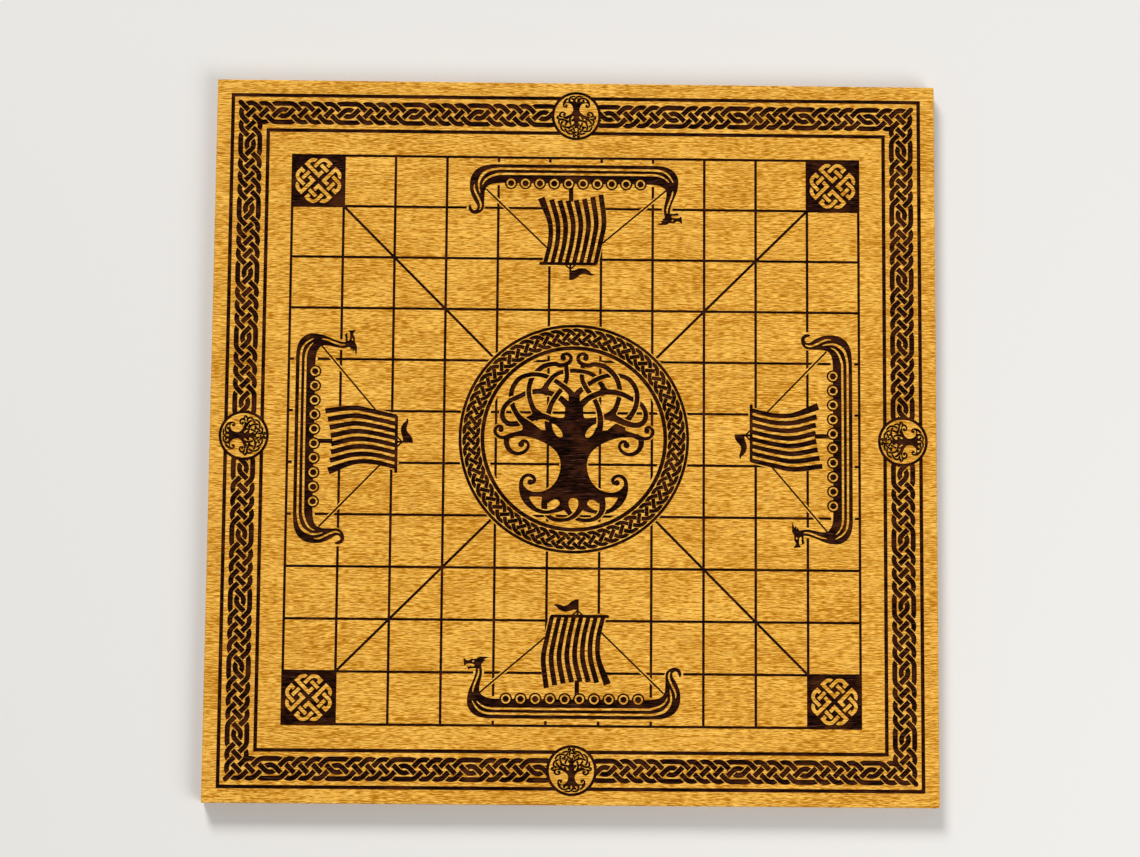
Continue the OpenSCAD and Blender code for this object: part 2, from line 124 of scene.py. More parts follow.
@dataclass
class Placer:  # puts a figure's outlines on the board
    scale: float = 1.0
    turn: float = 0.0
    shift: tuple = (0.0, 0.0)
    step: float = 1.2  # length of the pieces of a curve
    flip: int = 1
    halo: float = 0.0  # bare ground beside a stroke
    bold: float = 0.0  # added to the width of a stroke

    def at(self, points):
        cos, sin = (round(f(math.radians(self.turn)), turnDigits) for f in (math.cos, math.sin))
        out = []
        for px, py in points:
            x = px * self.flip * self.scale + self.shift[0]
            y = py * self.scale + self.shift[1]
            out.append((cos * x - sin * y, sin * x + cos * y))
        return out

    def shape(self, points, **marks):
        addOutline(self.at(points), **marks)

    def ribbon(self, path, grow=0.0, **marks):
        left, right = pathSides(path, grow + self.bold / 2)
        for i in range(len(path) - 1):
            self.shape([left[i], left[i + 1], right[i + 1], right[i]], **marks)

    def stroke(self, points, dot=0.0, **marks):
        path = smoothPath(points, self.step)
        self.ribbon(path, **marks)
        if dot:
            self.shape(disc(points[-1][:2], dot, dotCorners), **marks)
        if self.halo and "zone" not in marks:
            self.ribbon(path[::2] if len(path) % 2 else path, self.halo, zone="ground")


def newObject(name, data):
    made = bpy.data.objects.new(name, data)
    bpy.context.scene.collection.objects.link(made)
    return made


def meshObject(name, verts, faces):
    mesh = bpy.data.meshes.new(name)
    mesh.from_pydata(verts, [], faces)
    return newObject(name, mesh)


def link(tree, source, slot):  # a value, or the output of another node
    if isinstance(source, (int, float, tuple)):
        slot.default_value = source
    else:
        tree.links.new(source, slot)


def addNode(tree, kind, inputs):
    node = tree.nodes.new(kind)
    for name, source in inputs.items():
        link(tree, source, node.inputs[name])
    return node


def mathNode(tree, operation, a, b):
    node = tree.nodes.new("ShaderNodeMath")
    node.operation = operation
    link(tree, a, node.inputs[0])
    link(tree, b, node.inputs[1])
    return node.outputs[0]


def vectorOf(tree, x=0.0, y=0.0, z=0.0):
    return addNode(tree, "ShaderNodeCombineXYZ", {"X": x, "Y": y, "Z": z}).outputs[0]


# Geometry Nodes: one tree repeats a flat pattern in a row, and turns the row round the board's middle
def patternTree():
    tree = bpy.data.node_groups.new("repeatedPattern", "GeometryNodeTree")
    for label, kind in (("Geometry", "Geometry"), ("Count", "Int"), ("Pitch", "Float"), ("Start", "Vector"),
                        ("Turns", "Int"), ("Turn", "Float"), ("Halves", "Int"), ("Material", "Material")):
        tree.interface.new_socket(label, in_out="INPUT", socket_type="NodeSocket" + kind)
    tree.interface.new_socket("Geometry", in_out="OUTPUT", socket_type="NodeSocketGeometry")
    given = tree.nodes.new("NodeGroupInput").outputs
    out = tree.nodes.new("NodeGroupOutput").inputs

    def made(kind, inputs):
        return addNode(tree, "GeometryNode" + kind, inputs).outputs[0]

    points = made("MeshLine", {"Count": given["Count"], "Offset": vectorOf(tree, given["Pitch"])})
    row = made("InstanceOnPoints", {"Points": points, "Instance": given["Geometry"]})
    place = tree.nodes.new("GeometryNodeInputIndex").outputs[0]
    mirrored = mathNode(tree, "MODULO", place, given["Halves"])  # of two halves, the second
    turn = mathNode(tree, "FLOOR", mathNode(tree, "DIVIDE", place, given["Halves"]), 0)
    copies = mathNode(tree, "MULTIPLY", given["Turns"], given["Halves"])
    around = made("InstanceOnPoints", {
        "Points": made("MeshLine", {"Count": copies, "Offset": (0.0, 0.0, 0.0)}),
        "Instance": made("Transform", {"Geometry": row, "Translation": given["Start"]}),
        "Rotation": vectorOf(tree, 0, 0, mathNode(tree, "MULTIPLY", turn, given["Turn"])),
        "Scale": vectorOf(tree, mathNode(tree, "SUBTRACT", 1, mathNode(tree, "MULTIPLY", mirrored, 2)), 1, 1),
    })
    real = made("RealizeInstances", {"Geometry": around})
    link(tree, made("SetMaterial", {"Geometry": real, "Material": given["Material"]}), out["Geometry"])
    return tree


repeatedPattern = patternTree()
burntWood = bpy.data.materials.new("burnt_wood")
faceWood = bpy.data.materials.new("face_wood")
toastedWood = bpy.data.materials.new("toasted_wood")


def repeated(polygons, **sizes):  # runs the tree on flat polygons and gives flat polygons back
    values = {"Count": 1, "Pitch": 0.0, "Start": (0.0, 0.0, 0.0), "Turns": 1, "Turn": math.pi / 2,
              "Halves": 1, "Material": burntWood}
    values.update((name.capitalize(), value) for name, value in sizes.items())
    verts, faces = [], []
    for polygon in polygons:
        faces.append(list(range(len(verts), len(verts) + len(polygon))))
        verts += [(x, y, 0.0) for x, y in polygon]
    carrier = meshObject("pattern", verts, faces)
    source = carrier.data
    modifier = carrier.modifiers.new("pattern", "NODES")
    modifier.node_group = repeatedPattern
    for item in repeatedPattern.interface.items_tree:
        if item.in_out == "INPUT" and item.name in values:
            modifier[item.identifier] = values[item.name]
    deps = bpy.context.evaluated_depsgraph_get()
    made = bpy.data.meshes.new_from_object(carrier.evaluated_get(deps), depsgraph=deps)
    carrier.modifiers.remove(modifier)
    spots = [v.co for v in made.vertices]
    result = [[(spots[i].x, spots[i].y) for i in p.vertices] for p in made.polygons]
    bpy.data.objects.remove(carrier)
    bpy.data.meshes.remove(source)
    bpy.data.meshes.remove(made)
    return result


field = {"squares": 11, "square": 28.6, "line": 1.45}
fieldHalf = field["squares"] * field["square"] / 2

# Border: a plait between two lines, with a round medallion on each side
border = {
    "inner": fieldHalf + 14.1,
    "outer": fieldHalf + 33.9,
    "line": 2.05, "strand": 2.85, "gap": 0.36, "groups": 5, "loopsInGroup": 5,
    "longLoop": 2,  # runs over two places, with an eye in it
    "rise": 5.3, "eyeRise": 1.9, "cornerTip": 5.8, "tipSteps": 9,
    "medallion": 13.8, "medallionLine": 1.6, "medallionCorners": 64,
    "medallionTree": {"scale": 0.248, "step": 3.2, "bold": 2.1},
}
bandHalf = (border["inner"] + border["outer"]) / 2


def reach(strand, gap):
    return strand / 2 + gap


def hookSide(r, yc, cut, stretch, steps):  # one side of a loop: short leg, bend, long leg
    first = 45 + math.degrees(math.acos((cut - yc) / (rootTwo * r))) if cut >= yc else 135
    lean = max(0, yc - cut) / 2
    bend = arcPoints((0, yc), r, first, 90, steps)
    shortLeg = (bend[0][0] - lean, bend[0][1] - lean)
    return [shortLeg] + bend + arcPoints((stretch, yc), r, 90, 45, steps)


def hook(apex, vertex, half, strand, gap, stretch=0.0, steps=4):  # a strand over one loop, in quads
    r = (vertex - apex) / (rootTwo - 1)
    yc = apex - r
    cut = vertex - 2 * half + rootTwo * reach(strand, gap)
    x = 2 * half - reach(strand, gap) / rootTwo
    h = strand / 2 / rootTwo
    outer = hookSide(r + strand / 2, yc, cut, stretch, steps) + [(stretch + x + h, vertex - x + h)]
    inner = hookSide(r - strand / 2, yc, cut, stretch, steps) + [(stretch + x - h, vertex - x - h)]
    strip = []
    for i in range(len(outer) - 1):
        quad = []
        for p in (outer[i], outer[i + 1], inner[i + 1], inner[i]):
            if not quad or gapBetween(p, quad[-1]) > tiny:
                quad.append(p)
        if gapBetween(quad[0], quad[-1]) < tiny:
            quad.pop()
        if len(quad) > 2:
            strip.append(quad)
    return strip


def bar(half, strand, gap):  # the straight middle of a strand, which passes over
    a = half - reach(strand, gap) / rootTwo
    h = strand / 2 / rootTwo
    return [(-a - h, -a + h), (a - h, a + h), (a + h, a - h), (-a + h, -a - h)]


def moved(polygons, x=0.0, y=0.0, flipX=1, flipY=1):
    return [[(px * flipX + x, py * flipY + y) for px, py in polygon] for polygon in polygons]


def plaitGroup(pitch, first):
    half = pitch / 2
    strand, gap = border["strand"], border["gap"]
    longLoop = border["longLoop"]
    polygons = []
    for k in range(border["loopsInGroup"]):
        if k == longLoop + 1:
            continue
        stretch = pitch if k == longLoop else 0.0
        over = hook(border["rise"], pitch, half, strand, gap, stretch)
        polygons += moved(over, k * pitch)
        if k > 0 or not first:
            polygons += moved(over, k * pitch + stretch, 0, -1, -1)
        if k == longLoop:
            eye = hook(border["eyeRise"], half, half, strand, gap)
            polygons += moved(eye, k * pitch + half, 0, -1, 1)
            polygons += moved(eye, k * pitch + half, 0, 1, -1)
        else:
            polygons += moved([bar(half, strand, gap)], k * pitch)
    if first:  # the strand that ends in the corner
        tip, near = border["cornerTip"], reach(strand, gap) / rootTwo
        h = strand / 2 / rootTwo
        end = arcPoints((-tip, tip), strand / 2, 45, 225, border["tipSteps"])
        polygons.append(end + [(-near - h, near - h), (-near + h, near + h)])
    return polygons


def drawBorder():
    pitch = bandHalf / (border["loopsInGroup"] * border["groups"])
    long = pitch * border["loopsInGroup"]
    for first, groups, left in ((True, 1, 0.0), (False, border["groups"] - 1, long)):
        start = (left - bandHalf, bandHalf, 0.0)
        unit = plaitGroup(pitch, first)
        sides = len(quarterTurns)
        for polygon in repeated(unit, count=groups, pitch=long, start=start, turns=sides, halves=2):
            addOutline(polygon, yields=("medallion",))
    line = border["line"] / 2
    for half in (border["inner"], border["outer"]):
        far = half + line
        for turn in quarterTurns:
            Placer(turn=turn).shape(boxCorners(-far, half - line, far, far), yields=("medallion",))
    rim, rimLine, corners = border["medallion"], border["medallionLine"], border["medallionCorners"]
    middle = (0.0, -bandHalf)
    for turn in quarterTurns:
        spot = Placer(turn=turn)
        spot.shape(disc(middle, rim - rimLine / 2, corners), zone="medallion")
        spot.shape(disc(middle, rim, corners), yields=("medallionGround",))
        spot.shape(disc(middle, rim - rimLine, corners), zone="medallionGround")
        drawTree(Placer(turn=turn, shift=middle, **border["medallionTree"]))
    print("border drawn:", len(outlines), "outlines")


# Ring of loops between two lines, round the tree
ring = {
    "outer": 63.45, "line": 1.7, "hole": 49.2, "innerLine": 2.2, "corners": 160,
    "loops": 62, "loopSteps": 3, "rise": 3.85, "strand": 2.2, "gap": 0.16, "start": 1.05,
    "groundOutside": 0.5, "groundInside": 1.1, "groundCorners": 96,
}


def drawRing():
    inner = ring["hole"] + ring["innerLine"]
    middle = (ring["outer"] - ring["line"] + ring["hole"] + ring["innerLine"]) / 2
    pitch = 2 * math.pi * middle / ring["loops"]
    over = hook(ring["rise"], pitch, pitch / 2, ring["strand"], ring["gap"], steps=ring["loopSteps"])
    unit = over + moved(over, 0, 0, -1, -1) + [bar(pitch / 2, ring["strand"], ring["gap"])]
    bent = [[((middle + y) * math.sin(x / middle), (middle + y) * math.cos(x / middle)) for x, y in polygon]
            for polygon in moved(unit, ring["start"])]
    for polygon in repeated(bent, turns=ring["loops"], turn=2 * math.pi / ring["loops"]):
        addOutline(polygon)
    for outer, line in ((ring["outer"], ring["line"]), (inner, ring["innerLine"])):
        name = "ring%d" % outer
        addOutline(disc((0, 0), outer, ring["corners"]), yields=(name,))
        addOutline(disc((0, 0), outer - line, ring["corners"]), zone=name)
    for name, radius in (("ringGround", ring["outer"] + ring["groundOutside"]),
                         ("insideRing", ring["hole"] - ring["groundInside"])):
        addOutline(disc((0, 0), radius, ring["groundCorners"]), zone=name)
    print("ring drawn:", len(outlines), "outlines")


# Tree of life: strands of the right half; the left half mirrors them and weaves the other way
crown = {
    "riser": [(11.5, -1, 4.4), (13.9, 4.5, 3.4), (14.5, 11, 3), (12.7, 18.6, 2.5), (9.6, 24, 2.5),
              (6.2, 28.6, 2.4), (4.2, 33.6, 2.3), (4.6, 40.6, 2.3)],
    "loop": [(0, 9.4, 4.6), (6.4, 9.8, 3.2), (12, 10.6, 2.6), (17, 12.2, 3.2), (22, 11.6, 3.6), (29, 8.6, 3),
             (35.6, 7.8, 2.8), (39.2, 11, 2.6), (38.9, 16.2, 2.4), (35.4, 20.6, 2.3), (31.6, 22.4, 2.4),
             (25.4, 25.2, 2.6), (17, 26, 3), (8.4, 22.8, 3), (2.6, 17.6, 3.8)],
    "outer": [(19, 3, 3.6), (23, 5.6, 4.6), (26.4, 8, 4.4), (30.4, 11.8, 2.9), (34, 18.4, 2.6),
              (34.4, 26.4, 2.5), (30.4, 33, 2.4), (24.6, 35.2, 2.3), (18.6, 35.2, 2.3), (12.6, 33.2, 2.4),
              (7, 29.6, 2.5), (2.6, 26, 3), (-1, 21, 4)],
    "top": [(18.6, 11, 5), (22.6, 16.6, 2.8), (24.8, 23.4, 2.5), (24.9, 28.4, 2.5), (22.8, 34.4, 2.6),
            (17, 40, 2.6), (11, 41.4, 2.4), (8, 40.7, 2.3), (5, 41.2, 2.1), (2.7, 42.6, 2.1),
            (1.9, 44.6, 1.9), (2.6, 46.3, 1.8), (4.4, 47.1, 1.7), (6.4, 46.5, 1.8), (6.7, 45, 2.4)],
    "centre": [(17.4, 24.6, 5), (15.8, 28.4, 2.6), (13.6, 32, 2.5), (10.6, 35.2, 2.2), (5.6, 37.2, 2.1),
               (0, 37.8, 2.1)],
    "crescent": [(28.8, -25.2, 2.2), (28.5, -28, 2.8), (27.3, -31.4, 3.8), (25.4, -34.8, 3.7),
                 (23, -37.6, 2.9), (19.8, -39.8, 2.2), (15.4, -40.8, 1.9), (11, -40.2, 2), (8, -39, 3),
                 (5.2, -37.2, 4.4)],
    "twist": [(15.4, -32, 3.4), (16, -36.4, 3.3), (15.7, -39.4, 3), (14.2, -42.3, 2.5), (11.4, -44.3, 2.2),
              (7.4, -45.1, 2), (3, -44.6, 1.9), (-0.6, -42.6, 2.4), (-2.8, -40, 2.8), (-4.6, -36.8, 3.8),
              (-4.8, -33, 5)],
}
crossings = [  # over, under and where, on the right half
    ("riser", "loop", (14.6, 11.2)), ("loop", "riser", (10.6, 23.4)), ("riser", "outer", (6.6, 28.9)),
    ("centre", "riser", (4.2, 37.2)), ("outer", "centre", (12.8, 33.2)), ("loop", "top", (24.9, 25.4)),
    ("top", "outer", (22.4, 35.4)), ("outer", "loop", (34.7, 21)), ("loop", "outer", (28.8, 9)),
    ("twist", "crescent", (15.2, -40.8)),
]
weave = {"gap": 0.55, "reach": 3.6, "foot": (0, -43.1), "footReach": 5}
topDot = {"middle": (6.2, 44.7), "radius": 1.6, "corners": 14}  # ends the top strand
trunkSide = [(9.6, -7.6), (8.2, -10), (7.4, -13), (7.3, -16), (8, -19.5), (9.2, -22.5), (11, -25.3),
             (13.5, -27.6), (16.5, -29), (20, -29.6), (23, -29.3), (25.4, -28.2), (27, -26.6), (28.2, -25)]
trunkTop = [(0, 25.7), (1.7, 26.2), (3.1, 24.2), (3.2, 20.4), (5, 18.1), (5.1, 13.6), (5.5, 11.9),
            (6.5, 11.3), (9, 11.3), (12, 11.7), (13.8, 10.5), (14, 4), (10, 0)]
trunkFoot = [(28.6, -29), (26.4, -33.2), (24.1, -32.7), (23.4, -32.2), (20, -32.3), (17.4, -32.5),
             (16.6, -32.5), (15.6, -34.6), (13.6, -35.9), (12.5, -34.7), (10.5, -33.8), (8.8, -33.9),
             (7.6, -35.2), (7.7, -36.6), (9, -38.1), (8, -39), (5, -38.6), (2.9, -38.2), (3.1, -36.5),
             (2.8, -34.6), (1.6, -33.2), (0, -32.8)]
bough = [(12, 4.4), (16.2, 4.6), (17.6, 4.6), (19, 5.1), (21, 6.3), (24, 6), (27.6, 5.6), (28.2, 5.1),
         (28.9, 4.5), (30.2, 4), (32, 3.6), (33.6, 3.1), (35.2, 2.4), (36.8, 1.6), (38.4, 1.1), (38.4, -0.5),
         (35.4, -0.4), (34, 0.4), (32, 0.85), (29.5, 0.95), (26.5, 0.75), (23.5, 0.3), (21, -0.5),
         (18, -1.7), (15, -3.2), (12, -5.2), (9.6, -7.6), (8.2, -10), (4, -10), (4, 2)]
teardrop = [(6.2, 2.2), (6.5, 0.9), (7.7, 0.5), (9.4, 1.5), (11, 3.6), (11.9, 6), (12.2, 8.3), (10.5, 7.7),
            (8.4, 5.9), (6.9, 4)]
webs = {  # fillets where a strand leaves another
    "centre": [(11.6, 25.4), (13.4, 26.4), (14.3, 27.6), (14.6, 29.2), (14.2, 31), (16.4, 31), (17, 29.4),
               (18, 28), (19.4, 27.2), (21, 27.1), (17, 25)],
    "top": [(17, 11), (16.9, 13.9), (18.6, 14.8), (20.4, 16.2), (22, 18), (23, 20.4), (25, 20.4),
            (24.4, 18.4), (23.4, 16.6), (22.9, 14.8), (23.2, 13.6), (24.4, 12.2), (22, 11)],
    "outer": [(29.2, 8), (28.4, 6.6), (28.2, 5.6), (28.4, 4.8), (26, 4), (24, 6), (27, 8.4)],
}
curls = {  # points of a curl and the radius of the dot at its end
    "bough": ([(34, 1.6, 3), (36.6, 0.6, 2.4), (39.2, 0.2, 1.8), (41.6, 0.9, 1.7), (43.3, 2.9, 1.8),
               (43.2, 5.2, 1.8), (41.4, 6.6, 1.7), (39.7, 6, 1.8), (40.1, 4.6, 2.4)], 1.5),
    "hanging": ([(36.6, 1, 3), (37.1, -2.4, 2.9), (36, -5.7, 2.5), (33.7, -7.8, 2.2), (30.5, -8.6, 1.9),
                 (27.3, -7.6, 1.8), (25.3, -5.3, 1.6), (25.1, -3.2, 1.5), (26.4, -1.7, 1.7), (28.2, -1.7, 2),
                 (29, -3.4, 2.6)], 1.75),
    "root": ([(28.6, -27, 2.4), (28.8, -24.9, 2.1), (28.3, -22.8, 1.9), (26.9, -21.1, 1.8), (25, -20.4, 1.7),
              (22.9, -20.9, 1.8), (21.5, -22.6, 1.9), (22, -24.2, 2.1), (23.8, -24.3, 2.6)], 1.6),
}
treeGrounds = [  # boxes beside the tree where no field line shows
    (0, 41.8, 13.5, 44.3), (12.5, 26.5, 14.7, 29.5), (15.2, 14, 19.5, 15.5), (12.8, -38.6, 15, -35.2),
    (9.8, -43.7, 12.4, -41.8),
]
middleTree = {"step": 1.3, "halo": 0.5, "bold": 0.2}


def nearPart(path, spot, far):  # the stretch of a strand near a crossing
    away = np.hypot(path[:, 0] - spot[0], path[:, 1] - spot[1])
    middle = int(np.argmin(away))
    low = high = middle
    while low > 0 and away[low] < far:
        low -= 1
    while high < len(path) - 1 and away[high] < far:
        high += 1
    return path[low:high + 1]


def drawTree(spot):
    paths = {name: smoothPath(points, spot.step) for name, points in crown.items()}
    side = smoothPath(trunkSide, spot.step)
    for flip, name in ((1, "Right"), (-1, "Left")):
        half = replace(spot, flip=flip)
        under = {strand: [] for strand in crown}
        for i, (over, below, where) in enumerate(crossings):
            if flip < 0:
                over, below = below, over
            zone = "weave%d%s" % (i, name)
            under[below].append(zone)
            half.ribbon(nearPart(paths[over], where, weave["reach"]), zone=zone, grow=weave["gap"])
        trunkYields = ["teardrop" + name, "weaveFoot"]
        if flip > 0:  # the left half's root passes over, and the trunk keeps clear of the first crossing
            under["twist"].append("weaveFoot")
            trunkYields.append("weave0Right")
        else:
            foot = nearPart(paths["twist"], weave["foot"], weave["footReach"])
            half.ribbon(foot, zone="weaveFoot", grow=weave["gap"])
        for strand, path in paths.items():
            half.ribbon(path, yields=under[strand])
            if spot.halo:
                half.ribbon(path, zone="ground", grow=spot.halo)
        half.shape(disc(topDot["middle"], topDot["radius"], topDot["corners"]))
        for strand, points in webs.items():
            half.shape(points, yields=under[strand])
        half.shape(teardrop, zone="teardrop" + name)
        half.shape(bough, yields=("teardrop" + name,))
        half.shape(trunkTop + list(side) + trunkFoot, yields=trunkYields)
        if spot.halo:
            for box in treeGrounds:
                half.shape(boxCorners(*box), zone="ground")
            half.ribbon(np.c_[side, np.zeros(len(side))], zone="ground", grow=spot.halo)
        for points, dot in curls.values():
            half.stroke(points, dot=dot)


# Longship, keel on y = 0
ship = {"inset": 3.7, "step": 1.6, "halo": 0.65}
shield = {"count": 10, "pitch": 8.0, "corners": 22, "radius": 3.5, "rim": 0.95, "boss": 1.75, "gunwale": 10.8}
rigging = {
    "yardEnds": (-11.2, 19.2),
    "yardHeight": 56,
    "yard": 1.7,
    "yardCorners": 12,
    "mast": [(2.6, 10.6, 2.5), (2.6, 21, 2.5)],
    "masthead": (2.7, 59.2, 0.9),
    "braceFeet": [(-0.2, 56.4, 0.9), (5.6, 56.4, 0.9)],
    "stays": [[(-50.2, 14.2, 0.95), (-15, 44.3, 0.95)], [(49.9, 14.2, 0.95), (15.2, 47.6, 0.95)]],
}
sail = {
    "stripes": 8,
    "rows": [  # left end, right end, height and width of a stripe, from the yard down
        (-11.2, 16.7, 55.8, 2.4), (-13.9, 14, 43.6, 2.65), (-15.8, 14.2, 33, 2.8), (-14, 18, 18.4, 2.9),
    ],
    "footRise": 1.9,
    "footCurve": 9.2,
    "footMiddle": 0.62,
    "flare": 1.2,  # at the foot of the last stripe
    "clear": 1.8,  # bare ground beside the sail
}
stem = [(-52.5, 27.2), (-52.7, 24.6), (-53.4, 22.1), (-54.4, 19.6), (-55.5, 17.1), (-56.4, 14.7),
        (-56.9, 12), (-57.1, 9.3), (-56.8, 6.9), (-55.6, 4.5), (-53.8, 2.6), (-51, 1.1), (-48, 0.4),
        (-45, 0.1), (-42, 0.1)]
stern = [(42, 0.1), (47, 0.3), (50, 0.7), (53, 1.7), (55.4, 3.2), (57.2, 5.3), (58.4, 7.7), (58.9, 10.2),
         (59, 12.6), (58.8, 15), (58.2, 17.1), (57.2, 19.5), (56, 21.6), (54.9, 23.2), (54.6, 24.4),
         (54.8, 25.3), (55.4, 26), (56.3, 26.3), (57.2, 25.9), (57.8, 24.8), (58.2, 23.8), (58.7, 23)]
sternBack = [(58.7, 23), (59.3, 23.8), (59.5, 25.2), (59, 26.8), (57.8, 28), (56, 28.5), (54, 28.1),
             (52.3, 27.1), (51.1, 25.6), (50.8, 23.8), (50.8, 21.4), (50.7, 18.6), (50.6, 16.2),
             (50.1, 14.3), (49.2, 12.9), (47.8, 11.9), (46, 11.3), (43, 10.9), (40, 10.8)]
stemBack = [(-40, 10.9), (-43, 11), (-46, 11.4), (-48.2, 12.4), (-50, 13.9), (-50.4, 16.2), (-50.1, 19),
            (-49.3, 22.4), (-49, 25), (-49.1, 27), (-49.4, 28.4)]
dragonHead = [(-49.5, 29.4), (-49, 30), (-47.7, 30.4), (-48.8, 30.9), (-46.6, 31.4), (-48, 32),
              (-47.8, 32.4), (-46, 32.9), (-45, 33.3), (-47.5, 33.6), (-50.2, 33.6), (-51.3, 33.1),
              (-52.1, 32.5), (-53.6, 32.4), (-55, 32.5), (-55.7, 31.9), (-56.7, 31.4), (-57.8, 31.8),
              (-58.8, 32.8), (-59.3, 32.4), (-59.1, 30.9), (-58.9, 29), (-58.3, 28.7), (-57.7, 29.5),
              (-55.9, 29.7), (-54.4, 29.6), (-53.5, 29.3), (-53.1, 28.6), (-53.8, 28.3), (-55.3, 28.4),
              (-56.3, 28.2), (-57.6, 28.3), (-57, 27.4), (-56.5, 26.5), (-55.7, 27), (-54.4, 27.2),
              (-53, 27.2)]
eye = [(-54.4, 30.9, 0.3), (-53.9, 31, 0.8), (-53.4, 31.2, 0.3)]
pennant = [(3.3, 65.2), (1, 65), (-0.8, 64), (-2.4, 62.5), (-3.8, 61.7), (-5.2, 61.6), (-6.8, 62.1),
           (-8.4, 62.6), (-9.6, 62.5), (-10.6, 61.9), (-9, 61.3), (-7.7, 59.8), (-6, 58.7), (-3.8, 58.3),
           (-1.6, 58.7), (0.4, 59.5), (2.1, 59.6), (2.1, 56), (3.3, 56)]
bareLines = [  # bare lines between the strakes and up the stem and the stern
    [(-50.9, 27, 0.5), (-50.9, 24.6, 0.8), (-51.6, 22.4, 0.9), (-52.5, 20, 0.9), (-53.4, 17.6, 0.8),
     (-53.9, 15.4, 0.6), (-54, 14.4, 0.3)],
    [(-54.2, 9.6, 0.3), (-53.4, 8.1, 0.6), (-52, 6, 0.8), (-50.5, 4.6, 0.9), (-48.8, 3.6, 1),
     (-46, 2.95, 1.1), (-42, 2.75, 1.1), (42, 2.65, 1.1), (44.5, 2.9, 1.1), (47.2, 3.45, 1.2),
     (50, 4.5, 1.4), (51.8, 6.1, 1.5), (53.1, 8.1, 1.3), (53.9, 10.2, 1), (53.95, 12.3, 0.9),
     (53.7, 14.4, 0.7), (53.2, 16.4, 0.3)],
    [(-51.7, 9.4, 0.3), (-50.6, 8.2, 0.6), (-48.9, 7, 0.7), (-47, 6.1, 0.9), (-44.6, 5.6, 1),
     (-42, 5.45, 1.1), (42, 5.6, 1.1), (44.5, 6.1, 1.1), (47, 6.95, 1), (49.1, 8.05, 0.95), (50.6, 9.4, 0.8),
     (51.5, 10.9, 0.6), (51.9, 12, 0.3)],
    [(53.3, 26, 0.4), (52.7, 24.3, 0.8), (52.75, 22.8, 0.9), (53.35, 21, 0.9), (54.3, 18.9, 0.9),
     (55.3, 17, 0.9), (56.1, 15.2, 0.85), (56.5, 13.4, 0.7), (56.3, 11.8, 0.3)],
]
shipGrounds = [  # where no field line shows beside the hull
    [(-55.4, 14), (-53.8, 24.6), (-54, 34), (-48, 34), (-48, 24), (-49, 14)],
    [(49.8, 14), (50.1, 24), (52, 29), (57, 29.8), (60.5, 27), (60.5, 22), (58.8, 12)],
    [(-53, -1), (55, -1), (55, 12), (-53, 12)],
    [(-20, 12), (22, 12), (20, 22), (-18, 22)],
]


def drawRigging(spot):
    high, yard = rigging["yardHeight"], rigging["yard"]
    spot.stroke([(x, high, yard) for x in rigging["yardEnds"]])
    for x in rigging["yardEnds"]:
        spot.shape(disc((x, high), yard / 2, rigging["yardCorners"]))
    spot.stroke(rigging["mast"], yields=("shieldLight",))
    for foot in rigging["braceFeet"]:
        spot.stroke([rigging["masthead"], foot])
    for stay in rigging["stays"]:
        spot.stroke(stay)


def drawSail(spot):
    rows, clear, last = sail["rows"], sail["clear"], sail["stripes"] - 1
    for i in range(sail["stripes"]):
        t = i / last
        points = [(left + (right - left) * t, high, width) for left, right, high, width in rows]
        flare = sail["flare"] if i == last else 0
        x, low, width = points[-1]
        foot = sail["footRise"] - sail["footCurve"] * (t - sail["footMiddle"]) ** 2
        points[-1] = (x + flare, low + foot, width + flare)
        spot.ribbon(smoothPath(points, spot.step))
    rightSide = [(right + clear, high) for _, right, high, _ in rows]
    leftSide = [(left - clear, high) for left, _, high, _ in reversed(rows)]
    spot.shape(rightSide + leftSide, zone="ground")


def shieldLayers():  # rim, bare face and boss
    count, pitch = shield["count"], shield["pitch"]
    start = (-(count - 1) * pitch / 2, shield["gunwale"], 0.0)
    layers = []
    for radius, marks in ((shield["radius"], {"yields": ("shieldLight",)}),
                          (shield["radius"] - shield["rim"], {"zone": "shieldLight"}), (shield["boss"], {})):
        unit = disc((0, 0), radius, shield["corners"])
        layers.append((repeated([unit], count=count, pitch=pitch, start=start), marks))
    return layers


def drawShips():
    layers = shieldLayers()
    for turn in quarterTurns:
        shift = (0, ship["inset"] - fieldHalf)
        spot = Placer(turn=turn, shift=shift, step=ship["step"], halo=ship["halo"])
        hull = [p for line in (stem, stern, sternBack, stemBack) for p in smoothPath(line, ship["step"])]
        spot.shape(hull + dragonHead, yields=("shieldLight", "bareLine"))
        for points in [*bareLines, eye]:
            spot.stroke(points, zone="bareLine")
        spot.shape(pennant)
        drawRigging(spot)
        drawSail(spot)
        for points in shipGrounds:
            spot.shape(points, zone="ground")
        for layer, marks in layers:
            for polygon in layer:
                spot.shape(polygon, **marks)
    print("ships drawn:", len(outlines), "outlines")


# Corner knot: raised strands in a burnt square
knot = {"strand": 1.9, "gap": 0.9, "cross": 2.3, "weave": 5.1, "rise": 4.0, "round": 3.2, "steps": 7}


